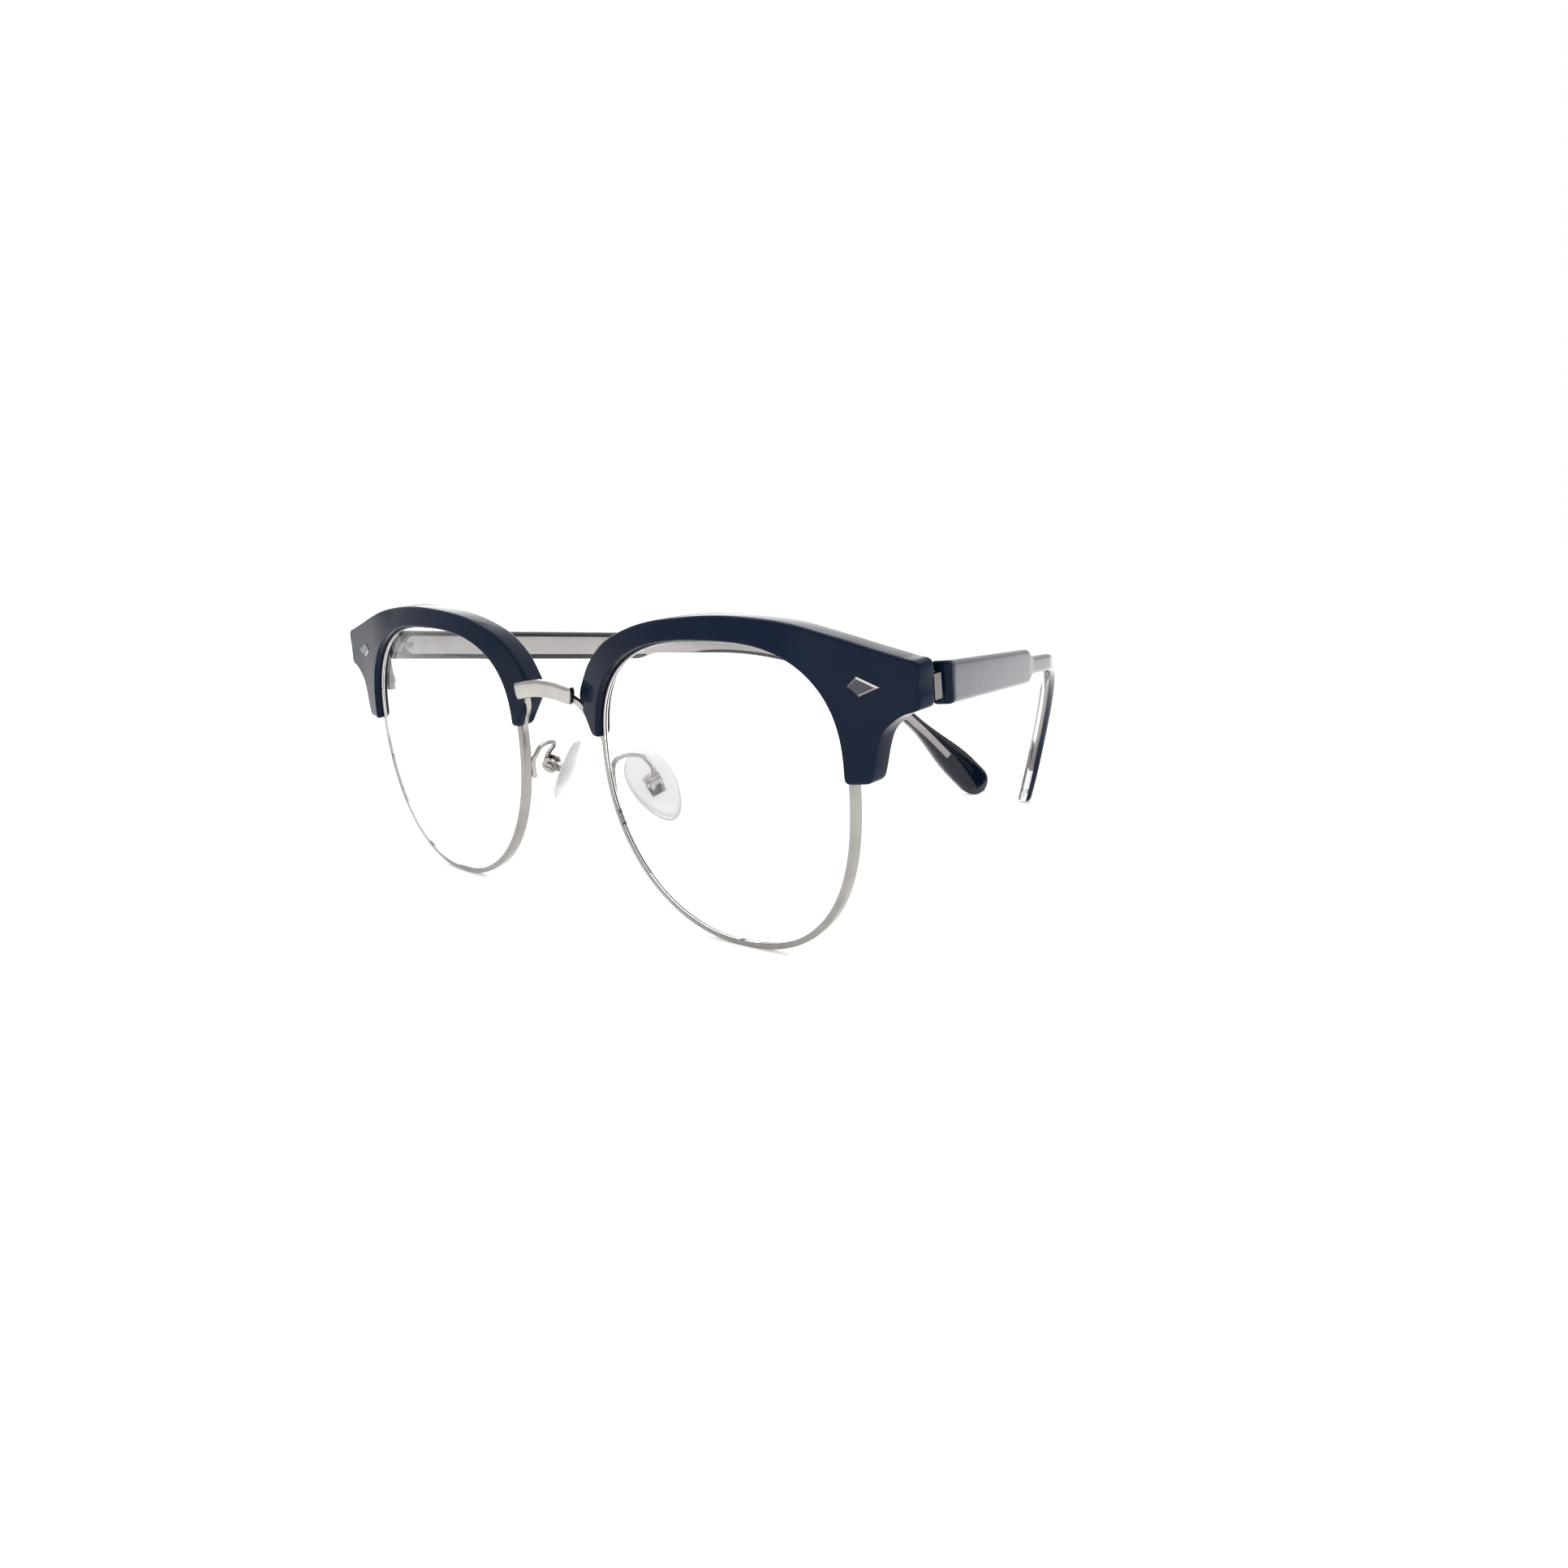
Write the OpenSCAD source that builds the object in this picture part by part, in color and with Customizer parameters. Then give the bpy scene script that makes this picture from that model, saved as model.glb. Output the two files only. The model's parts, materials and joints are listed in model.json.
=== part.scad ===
// Half rim eyeglasses: two wire-rimmed lenses under acetate brows, joined by a
// metal bridge, with silicone nose pads on arms and two laminated temples on
// three-barrel hinges. The glasses stand on a table on the lower edges of the
// eyewires and on the temple tips, with both temples a quarter folded.
// Lateral = X (wearer's left is +X), front = -Y, up = +Z.

/* [Eyewires and lenses] */
// Distance from the midline to each lens's reference point
lens_x = 34.65; // [32:0.05:38]
// Radius of the lens curve
base_r = 125; // [100:1:200]
// Wrap of each lens about the vertical
wrap = 3.1; // [1:0.1:6]
// Eyewire thickness across the lens plane
wire_t = 0.9; // [0.7:0.05:1.2]
// Eyewire depth, front to back
wire_d = 1.6; // [1.4:0.1:2.2]
// Lens thickness
lens_t = 1.3; // [1.1:0.1:1.8]

/* [Brows] */
// Lip in front of the eyewire
brow_ahead = 1.3; // [0.8:0.05:2]
// Overhang of the brow lips past the eyewire's outer edge
brow_lap = 0.5; // [0.3:0.05:0.8]
// Brow depth, front to back
brow_d = 3.5; // [3:0.1:4.5]
// Distance from the midline to the end of the brow
brow_end = 69.3; // [66:0.1:74]

/* [Bridge] */
// Height of the bridge bar
bar_h = 2.8; // [1.8:0.1:3]
// Thickness of the bridge bar
bar_t = 1.4; // [1:0.1:1.8]

/* [Hinges] */
// Lateral position of the hinge axis
pivot_x = 66.7; // [64:0.1:70]
// Hinge axis behind the front
pivot_y = 11.2; // [10:0.1:12]
// Height of the hinge centre above the lens centre
pivot_z = 16.3; // [15:0.1:18]
// Barrel radius
barrel_r = 1.1; // [0.9:0.05:1.3]
// Height of one of the three barrels
barrel_h = 1.1; // [0.9:0.05:1.4]
// Radius of the hinge screw
pin_r = 0.5; // [0.35:0.05:0.6]
// Running clearance, all round
gap = 0.1; // [0.05:0.01:0.15]

/* [Temples] */
// Fold of each temple as the glasses stand, from wide open
fold = 23; // [10:1:35]
// Dip of the temple below the front's normal
dip = 8.5; // [5:0.5:10]
// Thickness of the laminated temple
temple_t = 2.95; // [2.2:0.05:3.5]
// Height of the shank
shank_h = 5.6; // [4:0.1:6]
// Height of the neck behind the step
neck_h = 3; // [2.6:0.1:3.6]
// Added height of the paddle at the tip
paddle = 3.8; // [2:0.1:5]
// Length from the end face to the step
step_l = 52; // [40:1:60]
// Length from the end face to the bend
bend_l = 71.3; // [65:0.1:95]
// Radius of the bend
bend_r = 68.6; // [50:0.1:90]
// Angle of the bend
bend_a = 45; // [35:1:50]
// Length along the temple, from the end face to the tip
temple_l = 141.5; // [130:0.5:150]
// Inward sweep of the tip
tip_in = 15; // [8:0.1:18]
// Length of tip with no core wire in it
tip_free = 11; // [6:0.5:15]

/* [Nose pads] */
// Length of a silicone pad
pad_l = 13; // [11:0.1:15]
// Width of a silicone pad
pad_w = 7.2; // [6:0.1:8]
// Thickness of a silicone pad
pad_t = 1.9; // [1.5:0.1:2.4]
// Distance from the midline to the pad box
box_x = 13.6; // [12:0.05:16]
// Pad box behind the front
box_y = 8.5; // [7:0.05:10]
// Height of the pad box
box_z = -1.6; // [-4:0.1:2]

/* [Standing] */
// Forward lean of the front when the glasses stand on the table
lean = 5.95; // [4:0.01:8]
// Distance of the front's reference point from the middle of the footprint
setback = 60.99; // [55:0.01:75]

/* [Hidden] */
$fn = 32;

// Colours
navy = "#1f2b3d";
silver = "#b8b3ae";
clear = "#d8dcdf";

// Lens outline: four quarter superellipses about one centre
eye_u = 1.85;
eye_v = 4.7;
nasal_a = 26;
temporal_a = 22.6;
top_b = 18.2;
bottom_b = 27.4;
n_top_temporal = 2.5;
n_top_nasal = 2.7;
n_low_nasal = 2.1;
n_low_temporal = 2.4;
eye_steps = 84;

function lift(v, p) = sign(v) * pow(abs(v), p);
function corner(t) = sin(t) >= 0
    ? (cos(t) >= 0 ? n_top_temporal : n_top_nasal)
    : (cos(t) >= 0 ? n_low_temporal : n_low_nasal);
function half_w(t) = cos(t) >= 0 ? temporal_a : nasal_a;
function half_h(t) = sin(t) >= 0 ? top_b : bottom_b;
// Point on the outline at angle t, inset by d
function eye(t, d = 0) = [
    eye_u + (half_w(t) - d) * lift(cos(t), 2 / corner(t)),
    eye_v + (half_h(t) - d) * lift(sin(t), 2 / corner(t))];

// Point of the front at lens coordinates (u, v), set back by "back"
function curve(u, v) = (u * u + v * v) / (2 * base_r);
function on_front(p, back) =
    let (y = curve(p[0], p[1]) + back)
    [lens_x + p[0] * cos(wrap) - y * sin(wrap), p[0] * sin(wrap) + y * cos(wrap), p[1]];
function front_y(x, z) = curve(x - lens_x, z) + (x - lens_x) * sin(wrap);

// Smooth step from 0 to 1, and a curve through a list of points
function ease(x) = let (c = min(1, max(0, x))) c * c * (3 - 2 * c);
function catmull(a, b, c, d, t) = 0.5 * (2 * b + (c - a) * t
    + (2 * a - 5 * b + 4 * c - d) * t * t + (3 * b - a - 3 * c + d) * t * t * t);
function pick(list, i) = list[max(0, min(len(list) - 1, i))];
function through(list, s) = let (i = min(floor(s), len(list) - 2))
    catmull(pick(list, i - 1), pick(list, i), pick(list, i + 1), pick(list, i + 2), s - i);

// Solid skinned over rings of points; every ring has the same number of points
module skin(rings, closed = false) {
    n = len(rings[0]);
    m = len(rings);
    side = [for (i = [0 : m - (closed ? 1 : 2)]) for (j = [0 : n - 1])
        let (a = i * n + j, b = i * n + (j + 1) % n)
        let (c = ((i + 1) % m) * n + j, d = ((i + 1) % m) * n + (j + 1) % n)
        each [[a, b, c], [b, d, c]]];
    ends = closed ? [] : [[for (j = [n - 1 : -1 : 0]) j], [for (j = [0 : n - 1]) (m - 1) * n + j]];
    polyhedron(points = [for (r = rings) each r], faces = concat(side, ends), convexity = 8);
}

// Round rod along a path of points, with its own radius across and up
function direction(path, i) =
    let (d = pick(path, i + 1) - pick(path, i - 1)) d / norm(d);
function rod_ring(path, i, ru, rv, up, sides, power = 1) =
    let (d = direction(path, i), s0 = cross(d, up), s = s0 / norm(s0), t = cross(s, d))
    [for (j = [0 : sides - 1]) path[i] + s * ru * lift(cos(360 * j / sides), power)
        + t * rv * lift(sin(360 * j / sides), power)];

module mirrored(left) {
    if (left) children();
    else mirror([1, 0, 0]) children();
}

// Slotted screw head on the plane z = 0
screw_slot = 0.22;
module screw_head(r, h) {
    difference() {
        cylinder(r = r, h = h);
        translate([-r, -screw_slot / 2, h - 0.18]) cube([2 * r, screw_slot, 0.4]);
    }
}

// The whole front leans forward on the lowest points of its eyewires
stand_z = 22.45 * cos(lean);
module standing() {
    translate([0, -setback, stand_z]) rotate([lean, 0, 0]) children();
}

/* Eyewire: a grooved wire split at the closing block */
split_t = 12;
split_gap = 0.35;
groove_w = 0.86;
groove_d = 0.42;
groove_at = (wire_d - groove_w) / 2;
function wire_ring(t) = [
    on_front(eye(t, wire_t), 0),
    on_front(eye(t, wire_t), groove_at),
    on_front(eye(t, wire_t - groove_d), groove_at + 0.1),
    on_front(eye(t, wire_t - groove_d), groove_at + groove_w - 0.1),
    on_front(eye(t, wire_t), groove_at + groove_w),
    on_front(eye(t, wire_t), wire_d),
    on_front(eye(t, 0), wire_d),
    on_front(eye(t, 0), 0)];
module eyewire(left) {
    color(silver) standing() mirrored(left)
        skin([for (i = [0 : eye_steps])
            wire_ring(split_t + split_gap + i * (360 - 2 * split_gap) / eye_steps)]);
}

/* Lens: a meniscus with a bead round its edge that fills the eyewire's groove */
lens_back = (wire_d - lens_t) / 2;
lens_slack = 0.04;
lens_rings = 4;
lens_steps = 60;
function lens_ring(scale, d, back) = [for (i = [0 : lens_steps - 1])
    on_front(scale * (eye(i * 360 / lens_steps, d) - [eye_u, eye_v]) + [eye_u, eye_v], back)];
module lens(left) {
    rim = wire_t + lens_slack;
    bead = wire_t - groove_d + lens_slack;
    front = [for (k = [0 : lens_rings]) lens_ring(0.02 + 0.98 * k / lens_rings, rim, lens_back)];
    edge = [lens_ring(1, rim, groove_at + 0.12), lens_ring(1, bead, groove_at + 0.2),
        lens_ring(1, bead, groove_at + groove_w - 0.2), lens_ring(1, rim, groove_at + groove_w - 0.12)];
    back = [for (k = [lens_rings : -1 : 0])
        lens_ring(0.02 + 0.98 * k / lens_rings, rim, lens_back + lens_t)];
    color(clear, 0.35) standing() mirrored(left) skin(concat(front, edge, back));
}

/* Closing block: two halves soldered to the ends of the eyewire, drawn together by a screw */
block_w = 2.2;
block_h = 1.5;
block_d = 1.5;
block_gap = 0.25;
function split_point() = on_front(eye(split_t), 0);
slope = atan(eye(split_t)[0] / base_r) + wrap;
module at_split() {
    translate(split_point()) rotate([0, 0, slope]) children();
}
close_r = 0.45;
close_x = 1.35;
module closing_block(left) {
    color(silver) standing() mirrored(left) at_split() for (s = [-1, 1])
        translate([0.3, 0.05, s * (block_gap + block_h) / 2]) difference() {
            translate([0, 0, -block_h / 2]) cube([block_w, block_d, block_h]);
            translate([close_x, block_d / 2, 0]) cylinder(r = close_r, h = 4, center = true);
        }
}
module closing_screw(left) {
    color(silver) standing() mirrored(left) at_split()
        translate([0.3 + close_x, 0.05 + block_d / 2, -block_h - block_gap / 2]) {
            mirror([0, 0, 1]) screw_head(0.7, 0.5);
            translate([0, 0, -0.1]) cylinder(r = close_r, h = 2 * block_h + block_gap - 0.1);
        }
}

/* Brow: a channel over the upper half of the eyewire, ending in a flat end lobe */
// Angle round the lens, then where the outer edge is from the midline and above the lens centre
brow_edge = [
    [176.7, 9.8, 6.8], [172.5, 8.2, 9.2], [167.5, 6.7, 11.7], [162.5, 6.5, 13.3], [156, 7.4, 15.2],
    [147, 9.6, 18.3], [135.5, 13.4, 21.3], [123, 18.3, 23.3], [110, 24, 24.7], [97, 31, 25.5],
    [86.5, 38, 25.8], [73, 44.5, 25.5], [58.5, 51, 24.7], [46, 57, 23.3], [36.5, 62.5, 21.8],
    [30, 67, 20.6], [26, brow_end, 19.8], [21.5, brow_end, 17], [17, brow_end, 14.3], [14.2, 67.6, 13.6],
    [11.5, 65.8, 12.6], [8.6, 64.1, 11], [5.2, 63.3, 8.9], [2.2, 62.8, 6.6], [-0.8, 62.2, 4.2]];
brow_steps = 3;
// Faces of the brow: the lens curve, cut by a flat facet at the end lobe
facet_x = 52;
facet_slope = 0.17;
facet_tilt = 0.05;
function facet(x, z) = 3.65 + facet_slope * (x - 60) + facet_tilt * (z - 17);
function brow_front(x, z) = let (y = front_y(x, z) - brow_ahead)
    x > facet_x ? min(y, facet(x, z)) : y;
function brow_back(x, z) = let (y = front_y(x, z) - brow_ahead + brow_d)
    x > facet_x ? min(y, facet(x, z) + brow_d) : y;
function seat(t, d, back) = on_front(eye(t, d), back);
function with_y(p, y) = [p[0], y, p[2]];
slack = 0.06;
brow_round = 0.45;
function brow_ring(e) =
    let (t = e[0], lip = seat(t, brow_lap, -brow_ahead), lip2 = seat(t, brow_lap, wire_d + 0.6))
    let (o = [e[1], 0, e[2]], inward = [lip[0] - e[1], 0, lip[2] - e[2]])
    let (w = norm(inward), r = min(brow_round, w / 4), o2 = o + inward * r / w)
    let (mid = (o + [lip[0], 0, lip[2]]) / 2)
    [lip,
    with_y(mid, brow_front(mid[0], mid[2])),
    with_y(o2, brow_front(o2[0], o2[2])),
    with_y(o, brow_front(o[0], o[2]) + r),
    with_y(o, brow_back(o[0], o[2]) - r),
    with_y(o2, brow_back(o2[0], o2[2])),
    with_y(mid, brow_back(mid[0], mid[2])),
    lip2,
    seat(t, brow_lap, wire_d + slack),
    seat(t, -slack, wire_d + slack),
    seat(t, -slack, -slack),
    seat(t, brow_lap, -slack)];
rivet_r = 0.35;
rivet_x = [-0.8, 0.9];
module brow(left) {
    n = (len(brow_edge) - 1) * brow_steps;
    color(navy) standing() mirrored(left) difference() {
        skin([for (i = [0 : n]) brow_ring(through(brow_edge, i / brow_steps))]);
        // Pocket for the closing block and the foot of the metal end piece
        at_split() translate([-0.1, -0.05, -2.4]) cube([3, 8, 4.3]);
        // Slot for the bridge's leg
        bridge_leg();
        // Seat and rivet holes of the plaque
        at_plaque() {
            plaque_plate();
            for (x = rivet_x) translate([x, 6, 0]) rotate([90, 0, 0]) cylinder(r = rivet_r, h = 8);
        }
    }
}

/* Plaque: a kite-shaped rivet head on two pins */
plaque_x = 61.3;
plaque_z = 16.9;
facet_a = atan(facet_slope);
plaque_t = 0.45;
module at_plaque() {
    translate([plaque_x, facet(plaque_x, plaque_z), plaque_z]) rotate([-atan(facet_tilt), 0, facet_a]) children();
}
module plaque_plate() {
    translate([0, 0.05, 0]) rotate([90, 0, 0]) linear_extrude(plaque_t)
        polygon([[-2.1, 0], [-0.6, 1.3], [2.8, -0.05], [-0.35, -1.3]]);
}
module plaque(left) {
    color(silver) standing() mirrored(left) at_plaque() {
        plaque_plate();
        for (x = rivet_x) translate([x, 0, 0]) rotate([-90, 0, 0]) cylinder(r = rivet_r, h = 4.3);
    }
}

/* Metal end piece: riser from the closing block, plate behind the brow, front half of the hinge */
plate_t = 1;
plate_h = 3.3;
plate_off = 0.15;
block_back = pivot_y - 0.9;
block_t = 1.45;
function hinge_z(i) = (i - 1.5) * barrel_h;
module hinge_bore(r) {
    cylinder(r = r, h = 8, center = true);
}
module end_piece(left) {
    back = facet(60, pivot_z) + brow_d + plate_off;
    color(silver) standing() mirrored(left) difference() {
        union() {
            at_split() translate([0.35, block_d + 0.05, block_gap / 2]) cube([2.1, 2.3, 1.4]);
            translate([60, back, pivot_z]) rotate([0, 0, facet_a]) {
                translate([-0.8, 0.05, -7.6]) cube([2.2, plate_t, 8]);
                translate([0, 0, -plate_h / 2]) cube([9, plate_t, plate_h]);
            }
            difference() {
                translate([pivot_x - 3.2, block_back - block_t, pivot_z - plate_h / 2])
                    cube([5.6, block_t, plate_h]);
                for (i = [0, 2]) translate([pivot_x, pivot_y, pivot_z + hinge_z(i) - 0.1])
                    cylinder(r = barrel_r + gap, h = barrel_h + 0.2);
            }
            translate([pivot_x, pivot_y, pivot_z + hinge_z(1) + 0.05])
                cylinder(r = barrel_r, h = barrel_h - 0.1);
            translate([pivot_x - barrel_r, block_back - 0.1, pivot_z + hinge_z(1) + 0.05])
                cube([barrel_r + 0.6, 0.6, barrel_h - 0.1]);
        }
        translate([pivot_x, pivot_y, pivot_z]) hinge_bore(pin_r - 0.04);
        at_plaque() for (x = rivet_x) translate([x, 9, 0]) rotate([90, 0, 0]) cylinder(r = rivet_r, h = 8);
    }
}

/* Hinge screw: head, plain shank, peened end */
module hinge_screw(left) {
    top = hinge_z(3);
    color(silver) standing() mirrored(left) translate([pivot_x, pivot_y, pivot_z]) {
        translate([0, 0, -top - 0.1]) cylinder(r = pin_r - 0.04, h = 2 * top + 0.15);
        translate([0, 0, top + 0.05]) screw_head(0.9, 0.4);
        translate([0, 0, -top - 0.35]) cylinder(r = 0.65, h = 0.3);
    }
}

/* Temple: folds about the hinge axis, dips below the front's normal */
outer_x = 3.05;
end_y = -0.75;
layer_x = outer_x - 1.2;
inner_x = outer_x - temple_t;
module folded(left) {
    standing() mirrored(left) translate([pivot_x, pivot_y, pivot_z]) rotate([0, 0, fold]) children();
}
module dipped() {
    rotate([-dip, 0, 0]) children();
}
// Centre line: straight shank, round bend, straight tip; [back, up, slope]
arc_l = bend_r * bend_a * PI / 180;
function centre(l) = l <= bend_l ? [l, 0, 0]
    : l <= bend_l + arc_l
        ? let (a = (l - bend_l) / bend_r * 180 / PI)
            [bend_l + bend_r * sin(a), -bend_r * (1 - cos(a)), a]
        : let (k = l - bend_l - arc_l)
            [bend_l + bend_r * sin(bend_a) + k * cos(bend_a),
            -bend_r * (1 - cos(bend_a)) - k * sin(bend_a), bend_a];
tip_curve = 1.5;
function inward(l) = l <= bend_l ? 0 : tip_in * pow((l - bend_l) / (temple_l - bend_l), tip_curve);
// Heights of the upper and the lower edge above the centre line
step_w = 5;
round_l = 3.6;
function shank_half(l) = neck_h / 2 + (shank_h - neck_h) / 2 * (1 - ease((l - step_l) / step_w));
function tip_swell(l) = paddle * ease((l - (temple_l - 22)) / 15);
function tip_close(l) = l < temple_l - round_l ? 1
    : sqrt(max(0.01, 1 - pow((l - temple_l + round_l) / round_l, 2)));
function edge_mid(l) = 0.05 * tip_swell(l);
function edge_half(l) = (shank_half(l) + tip_swell(l) / 2) * tip_close(l);
// One point of the temple: length l, outboard x, height h above the centre line
function on_temple(l, x, h) = let (c = centre(l))
    [x - inward(l), end_y + c[0] + h * sin(c[2]), c[1] + h * cos(c[2])];
core_end = temple_l - tip_free;
neck_l = step_l + step_w;
bow_l = neck_l + 44;
stations = concat([end_y, 1], [for (k = [1 : 8]) 1 + 5.6 * k],
    [for (k = [0 : 4]) step_l - 1 + k * (step_w + 1) / 4], [for (k = [1 : 8]) neck_l + 5.5 * k],
    [for (k = [1 : 8]) bow_l + k * (core_end - bow_l) / 8],
    [for (k = [1 : 4]) core_end + k * (tip_free - round_l) / 4],
    [for (a = [25 : 20 : 85]) temple_l - round_l * (1 - sin(a))]);
edge_r = 0.5;
function outer_ring(l) = let (m = edge_mid(l), h = edge_half(l), r = min(edge_r, h / 2))
    [on_temple(l, layer_x, m - h), on_temple(l, outer_x - r, m - h), on_temple(l, outer_x, m - h + r),
    on_temple(l, outer_x, m + h - r), on_temple(l, outer_x - r, m + h), on_temple(l, layer_x, m + h)];
function inner_ring(l) = let (m = edge_mid(l), h = edge_half(l), r = min(edge_r, h / 2))
    [on_temple(l, inner_x + r, m - h), on_temple(l, layer_x, m - h), on_temple(l, layer_x, m + h),
    on_temple(l, inner_x + r, m + h), on_temple(l, inner_x, m + h - r), on_temple(l, inner_x, m - h + r)];
// Notch round the hinge barrels and the screw head
module hinge_room() {
    cylinder(r = barrel_r + gap, h = 3 * barrel_h + 1.2, center = true);
}
// The end face is cut parallel to the hinge axis
module end_cut() {
    translate([-1, end_y - 3, -shank_h]) cube([6, 3, 2 * shank_h]);
}
module temple_outer(left) {
    color(navy) folded(left) difference() {
        dipped() skin([for (l = stations) outer_ring(l)]);
        hinge_room();
        end_cut();
    }
}
core_x = layer_x - 0.7;
core_start = 5;
function core_half(l) = (l < core_start + 1.6
    ? 1.75 * sqrt(1 - 0.9 * pow((core_start + 1.6 - l) / 1.6, 2))
    : 1.75 - 1.05 * ease((l - step_l) / 20));
function core_ring(l, over) = let (h = core_half(l), x = layer_x + over)
    [on_temple(l, core_x, -h), on_temple(l, x, -h), on_temple(l, x, h), on_temple(l, core_x, h)];
core_stations = concat([for (k = [0 : 0.4 : 1.6]) core_start + k],
    [for (l = stations) if (l > core_start + 2 && l <= core_end) l]);
module core_solid(over = 0) {
    skin([for (l = core_stations) core_ring(l, over)]);
}
leaf_x = 0.45;
leaf_t = 0.8;
leaf_l = 5.6;
leaf_h = 1;
module leaf_bar() {
    translate([leaf_x, 0.1, -1.5 * barrel_h]) cube([leaf_t, 3.2, 3 * barrel_h]);
    dipped() translate([leaf_x + leaf_t / 2, 3, -leaf_h / 2]) cube([leaf_t / 2, leaf_l - 3, leaf_h]);
}
module temple_inner(left) {
    color(clear, 0.5) folded(left) difference() {
        dipped() skin([for (l = stations) inner_ring(l)]);
        dipped() core_solid(0.1);
        leaf_bar();
        hinge_room();
        end_cut();
    }
}
module temple_core(left) {
    color("#c9c0bd") folded(left) difference() {
        dipped() core_solid();
        leaf_bar();
    }
}
module hinge_leaf(left) {
    color(silver) folded(left) difference() {
        union() {
            leaf_bar();
            for (i = [0, 2]) translate([0, 0, hinge_z(i)]) cylinder(r = barrel_r, h = barrel_h);
        }
        translate([0, 0, hinge_z(1)]) cylinder(r = barrel_r + gap, h = barrel_h);
        hinge_bore(pin_r);
    }
}

/* Bridge: a flat bar in front of the brows, on two strips soldered to the eyewires */
bar_path = [[-7, -0.65, 13.15], [-5.5, -0.75, 13.4], [-3.5, -0.85, 13.75], [0, -0.9, 14],
    [3.5, -0.85, 13.75], [5.5, -0.75, 13.4], [7, -0.65, 13.15]];
leg_path = [[6.3, -0.5, 13.1], [6.5, 0.4, 12.2], [7.2, 1, 11], [8, 1.35, 9.75], [9.1, 1.65, 8.6],
    [9.9, 1.8, 7.4], [10.4, 1.85, 6]];
leg_w = 1.15;
leg_t = 0.8;
flatness = 0.6;
function smooth(points, k) = [for (i = [0 : (len(points) - 1) * k]) through(points, i / k)];
module bridge_bar() {
    bar = smooth(bar_path, 2);
    skin([for (i = [0 : len(bar) - 1])
        rod_ring(bar, i, bar_t / 2, bar_h / 2, [0, 0, 1], 16, flatness)]);
}
module bridge_leg() {
    leg = smooth(leg_path, 2);
    skin([for (i = [0 : len(leg) - 1]) rod_ring(leg, i, leg_w / 2, leg_t / 2, [0, 1, 0], 12, flatness)]);
}
module bridge() {
    color(silver) standing() union() {
        bridge_bar();
        for (left = [true, false]) mirrored(left) bridge_leg();
    }
}

/* Nose pad: a silicone cushion on an insert that rocks on the pad box's screw */
pad_turn = [22.2, -30.3, -37];
arm_r = 0.4;
arm_path = [[10.85, 2.85, -2.2], [10.8, 2.9, 0.3], [10.4, 3.4, 1.4], [10.35, 4.4, 2.5], [10.7, 6.2, 2.8],
    [11.6, 8.1, 2.3], [12.5, 8.5, 1.4], [13.7, 8.4, 0.4], [14.25, 7.9, -0.85]];
module at_box(left) {
    standing() mirrored(left) translate([box_x, box_y, box_z]) rotate(pad_turn) children();
}
module pad_arm(left) {
    arm = smooth(arm_path, 3);
    color(silver) standing() mirrored(left)
        skin([for (i = [0 : len(arm) - 1]) rod_ring(arm, i, arm_r, arm_r, [0.6, 0, 0.8], 8)]);
}
box_r = 1.35;
box_w = 2;
slot_w = 1;
pad_pin_r = 0.35;
module pad_box(left) {
    color(silver) at_box(left) difference() {
        rotate([90, 0, 0]) cylinder(r = box_r, h = box_w, center = true);
        translate([-3, -slot_w / 2, -2]) cube([3.9, slot_w, 4]);
        rotate([90, 0, 0]) cylinder(r = pad_pin_r, h = 4, center = true);
    }
}
module pad_screw(left) {
    color(silver) at_box(left) {
        rotate([90, 0, 0]) cylinder(r = pad_pin_r, h = box_w + 0.2, center = true);
        translate([0, -box_w / 2, 0]) rotate([90, 0, 0]) screw_head(0.75, 0.35);
    }
}
pad_gap = 2.2;
insert_t = 0.6;
insert_w = 2.4;
insert_l = 3.4;
module pad_insert(left) {
    color(silver) at_box(left) difference() {
        union() {
            rotate([90, 0, 0]) cylinder(r = 0.75, h = slot_w - 0.1, center = true);
            translate([-pad_gap, -slot_w / 2 + 0.05, -0.7]) cube([pad_gap, slot_w - 0.1, 1.4]);
            translate([-pad_gap - insert_t, -insert_w / 2, -insert_l / 2])
                cube([insert_t, insert_w, insert_l]);
        }
        rotate([90, 0, 0]) cylinder(r = pad_pin_r + 0.05, h = 4, center = true);
    }
}
// Egg outline of the pad, in the plane across its thickness
pad_steps = 28;
function pad_egg(a) = [pad_w / 2 * cos(a) * (1 + 0.16 * sin(a)), pad_l / 2 * sin(a)];
function pad_ring(k, x) = [for (i = [0 : pad_steps - 1])
    let (p = pad_egg(i * 360 / pad_steps) * k) [x, p[0], p[1]]];
module nose_pad(left) {
    back = -pad_gap;
    color(clear, 0.5) at_box(left) difference() {
        skin([pad_ring(0.75, back), pad_ring(0.93, back - 0.2), pad_ring(1, back - 0.6),
            pad_ring(0.95, back - 1.15), pad_ring(0.75, back - 1.6), pad_ring(0.4, back - pad_t)]);
        translate([-pad_gap - insert_t, -insert_w / 2, -insert_l / 2])
            cube([insert_t + 0.1, insert_w, insert_l]);
    }
}

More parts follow.
